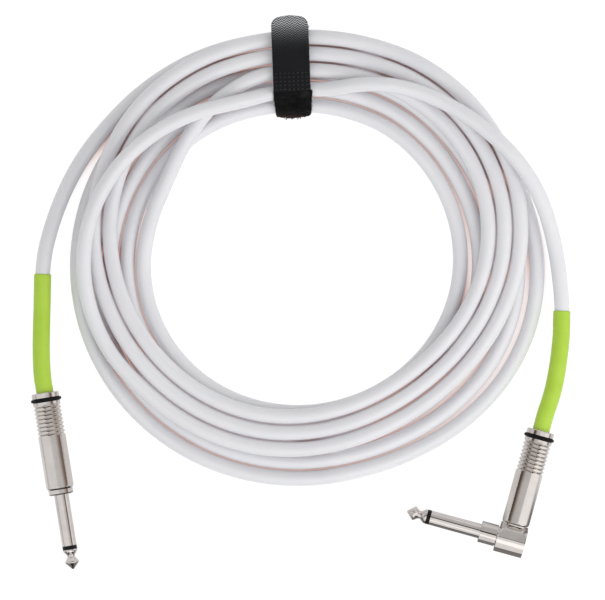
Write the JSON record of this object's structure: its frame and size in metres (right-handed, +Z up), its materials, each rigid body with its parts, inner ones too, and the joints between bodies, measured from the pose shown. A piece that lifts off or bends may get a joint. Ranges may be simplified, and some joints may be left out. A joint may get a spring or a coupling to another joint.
{
  "type": "instrument cable",
  "caption": "Coiled instrument cable with a straight and a right-angle jack plug, screw-on grooved barrels, heat-shrink sleeves and a wrap strap.",
  "frame": {"origin": "On the resting surface, under the middle of the box round the plugs, sleeves and strap.", "axes": "+Z up with the coil lying flat; +Y from the plug ends towards the strap; +X to the side of the right-angle plug."},
  "size_m": [0.2347, 0.2406, 0.0219],
  "materials": {
    "jacket": "smooth satin white PVC",
    "heat_shrink": "lime heat-shrink sleeve, satin",
    "nickel_body": "nickel plate, polished",
    "nickel_barrel": "nickel plate, satin flats",
    "nickel_shaft": "nickel plate, polished, fine turning lines",
    "black_insulator": "black moulded insulator",
    "fibre": "pressed fibre washer",
    "tinned_lug": "tinned brass, stamped",
    "core": "core insulation",
    "screen": "twisted bare copper",
    "liner": "clear amber tube",
    "o_ring": "black rubber",
    "loop_pile": "black loop pile",
    "woven_tape": "black woven tape",
    "hook_tape": "black hook tape"
  },
  "bodies": {
    "cable": {"cable_coil": "jacket", "cable_lead_straight": "jacket", "cable_lead_angle": "jacket", "straight_heat_shrink": "heat_shrink", "angle_heat_shrink": "heat_shrink", "strap_band": "loop_pile", "strap_sewn_end": "woven_tape", "straight_plug_body": "nickel_body", "straight_sleeve_contact": "nickel_shaft", "straight_tip_contact": "nickel_shaft", "straight_insulator": "black_insulator", "straight_rear_washer": "fibre", "straight_tip_lug": "tinned_lug", "straight_ground_lug": "tinned_lug", "straight_core_wire": "core", "straight_screen_tail": "screen", "angle_elbow_head": "nickel_body", "angle_head_plug": "nickel_body", "angle_sleeve_contact": "nickel_shaft", "angle_tip_contact": "nickel_shaft", "angle_insulator": "black_insulator", "angle_rear_washer": "fibre", "angle_tip_lug": "tinned_lug", "angle_ground_lug": "tinned_lug", "angle_core_wire": "core", "angle_screen_tail": "screen"},
    "straight_liner_body": {"straight_insulating_tube": "liner"},
    "straight_barrel_body": {"straight_barrel": "nickel_barrel", "straight_o_ring": "o_ring"},
    "angle_liner_body": {"angle_insulating_tube": "liner"},
    "angle_barrel_body": {"angle_barrel": "nickel_barrel", "angle_o_ring": "o_ring"},
    "strap_tail_body": {"strap_tail": "woven_tape", "strap_hook_patch": "hook_tape"}
  },
  "joints": [
    {"name": "straight_barrel_slide", "type": "slide", "parent": "cable", "child": "straight_liner_body", "axis": [-0.1582, 0.9874, 0], "range_m": [0, 0.0062]},
    {"name": "straight_barrel_turn", "type": "hinge", "parent": "straight_liner_body", "child": "straight_barrel_body", "pos_m": [-0.10736, -0.06815, 0.0067], "axis": [-0.1582, 0.9874, 0], "range_deg": [0, 2160]},
    {"name": "angle_barrel_slide", "type": "slide", "parent": "cable", "child": "angle_liner_body", "axis": [0.2656, 0.9641, 0], "range_m": [0, 0.0062]},
    {"name": "angle_barrel_turn", "type": "hinge", "parent": "angle_liner_body", "child": "angle_barrel_body", "pos_m": [0.09777, -0.08446, 0.0067], "axis": [0.2656, 0.9641, 0], "range_deg": [0, 2160]},
    {"name": "strap_peel", "type": "hinge", "parent": "cable", "child": "strap_tail_body", "pos_m": [-0.00463, 0.09657, 0.018], "axis": [0.9993, 0.0366, 0], "range_deg": [0, 150]}
  ],
  "couplings": [
    {"joint": "straight_barrel_slide", "follows": "straight_barrel_turn", "m_per_rad": 0.00015915},
    {"joint": "angle_barrel_slide", "follows": "angle_barrel_turn", "m_per_rad": 0.00015915}
  ]
}
